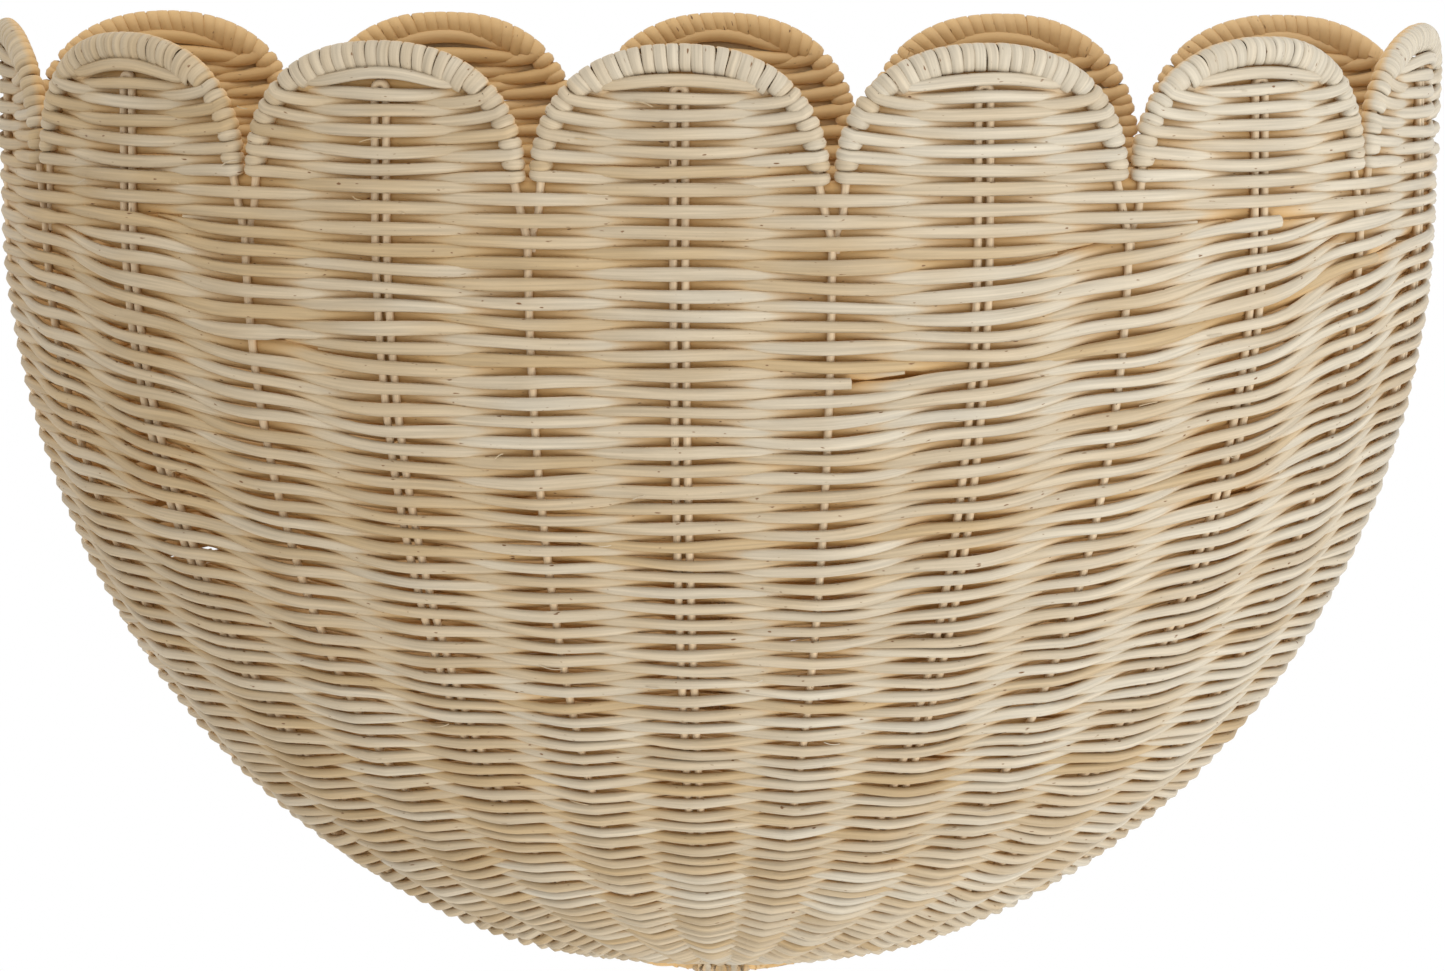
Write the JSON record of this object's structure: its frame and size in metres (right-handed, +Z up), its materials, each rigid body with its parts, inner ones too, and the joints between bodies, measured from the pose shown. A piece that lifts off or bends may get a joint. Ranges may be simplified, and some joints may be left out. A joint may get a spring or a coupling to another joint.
{
  "type": "wall basket",
  "caption": "Half-round woven rattan basket with a flat back for hanging on a wall, a bowed front and a scalloped rim.",
  "frame": {"origin": "on the wall plane at the centre line, at the bowl's widest level", "axes": "+X along the wall to the right as seen from the front, +Y into the wall, +Z up, so the front looks along -Y"},
  "size_m": [0.38, 0.155, 0.2541],
  "materials": {
    "weave": "natural round rattan strands, woven, matt with a faint sheen",
    "stakes": "natural rattan rods, matt",
    "lashing": "natural rattan strand wound round the hoops, matt with a faint sheen",
    "nail": "dull grey steel"
  },
  "bodies": {
    "root": {"base_knot": "weave", "body_weave": "weave", "hoop_stake_01": "stakes", "hoop_stake_02": "stakes", "hoop_stake_03": "stakes", "hoop_stake_04": "stakes", "hoop_stake_05": "stakes", "hoop_stake_06": "stakes", "hoop_stake_07": "stakes", "hoop_stake_08": "stakes", "hoop_stake_09": "stakes", "hoop_stake_10": "stakes", "hoop_stake_11": "stakes", "hoop_stake_12": "stakes", "paired_stake_01": "stakes", "paired_stake_02": "stakes", "paired_stake_03": "stakes", "paired_stake_04": "stakes", "paired_stake_05": "stakes", "paired_stake_06": "stakes", "paired_stake_07": "stakes", "paired_stake_08": "stakes", "paired_stake_09": "stakes", "paired_stake_10": "stakes", "paired_stake_11": "stakes", "paired_stake_12": "stakes", "petal_weave_01": "weave", "petal_weave_02": "weave", "petal_weave_03": "weave", "petal_weave_04": "weave", "petal_weave_05": "weave", "petal_weave_06": "weave", "petal_weave_07": "weave", "petal_weave_08": "weave", "petal_weave_09": "weave", "petal_weave_10": "weave", "petal_weave_11": "weave", "petal_weave_12": "weave", "rim_wrap_01": "lashing", "rim_wrap_02": "lashing", "rim_wrap_03": "lashing", "rim_wrap_04": "lashing", "rim_wrap_05": "lashing", "rim_wrap_06": "lashing", "rim_wrap_07": "lashing", "rim_wrap_08": "lashing", "rim_wrap_09": "lashing", "rim_wrap_10": "lashing", "rim_wrap_11": "lashing", "rim_wrap_12": "lashing", "wall_nail_left": "nail", "wall_nail_right": "nail"}
  },
  "joints": []
}
